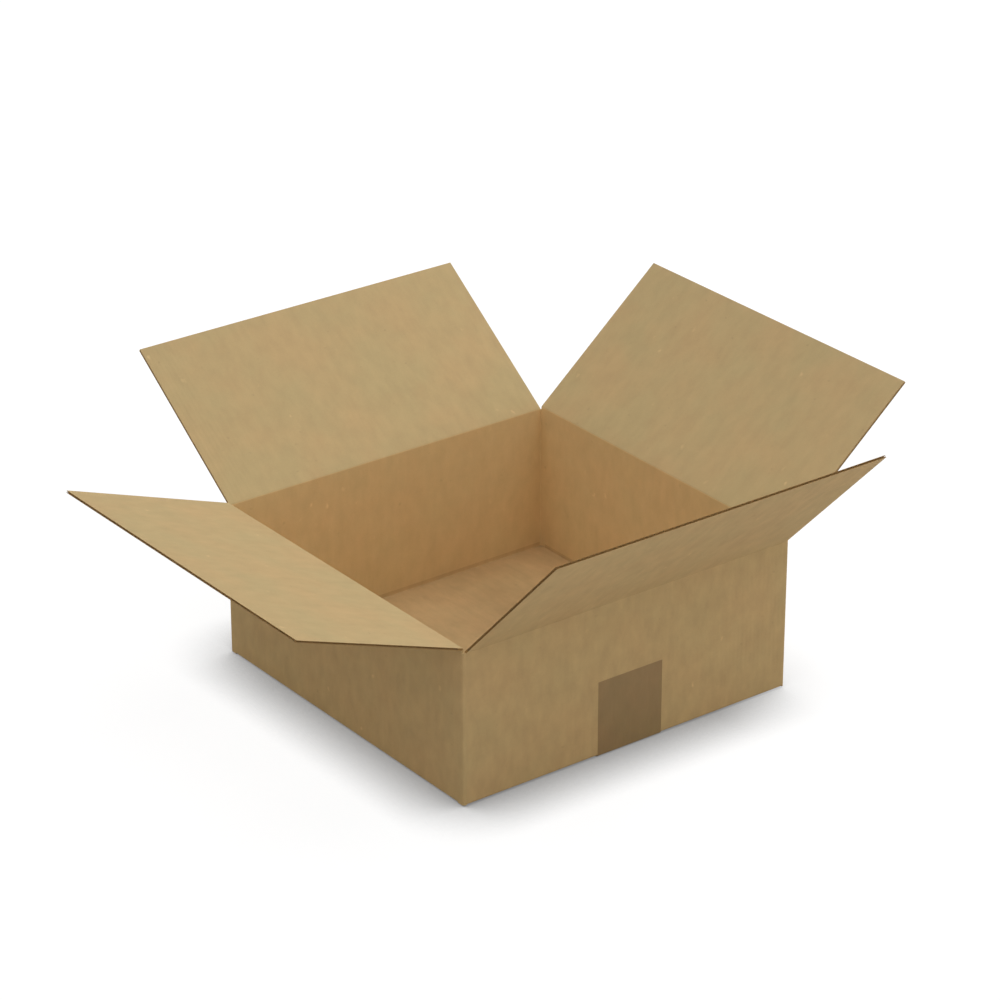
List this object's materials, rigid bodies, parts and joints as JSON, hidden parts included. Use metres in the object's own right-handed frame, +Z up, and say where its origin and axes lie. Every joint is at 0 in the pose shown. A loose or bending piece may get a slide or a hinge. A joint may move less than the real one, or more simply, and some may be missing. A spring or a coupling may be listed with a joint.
{
  "type": "corrugated carton",
  "caption": "Square shallow carton of thin corrugated board with a taped bottom and open top flaps that turn on their scores.",
  "frame": {"origin": "middle of the underside, on the standing plane", "axes": "+Z up; the wall with the shown end of the tape faces -Y; the walls run along X and Y"},
  "size_m": [0.4644, 0.4396, 0.1941],
  "materials": {
    "board": "matt kraft liner on corrugated board",
    "tape": "glossy brown packing tape"
  },
  "bodies": {
    "box": {"box_body": "board", "bottom_tape": "tape"},
    "front_flap": {"flap_front": "board"},
    "back_flap": {"flap_back": "board"},
    "left_flap": {"flap_left": "board"},
    "right_flap": {"flap_right": "board"}
  },
  "joints": [
    {"name": "front_flap_fold", "type": "hinge", "parent": "box", "child": "front_flap", "pos_m": [0, -0.1265, 0.1037], "axis": [1, 0, 0], "range_deg": [-133.9, 101.1]},
    {"name": "back_flap_fold", "type": "hinge", "parent": "box", "child": "back_flap", "pos_m": [0, 0.1265, 0.1037], "axis": [-1, 0, 0], "range_deg": [-144.2, 90.8]},
    {"name": "left_flap_fold", "type": "hinge", "parent": "box", "child": "left_flap", "pos_m": [-0.1265, 0, 0.1053], "axis": [0, -1, 0], "range_deg": [-160.2, 74.8]},
    {"name": "right_flap_fold", "type": "hinge", "parent": "box", "child": "right_flap", "pos_m": [0.1265, 0, 0.1053], "axis": [0, 1, 0], "range_deg": [-139.8, 95.2]}
  ]
}
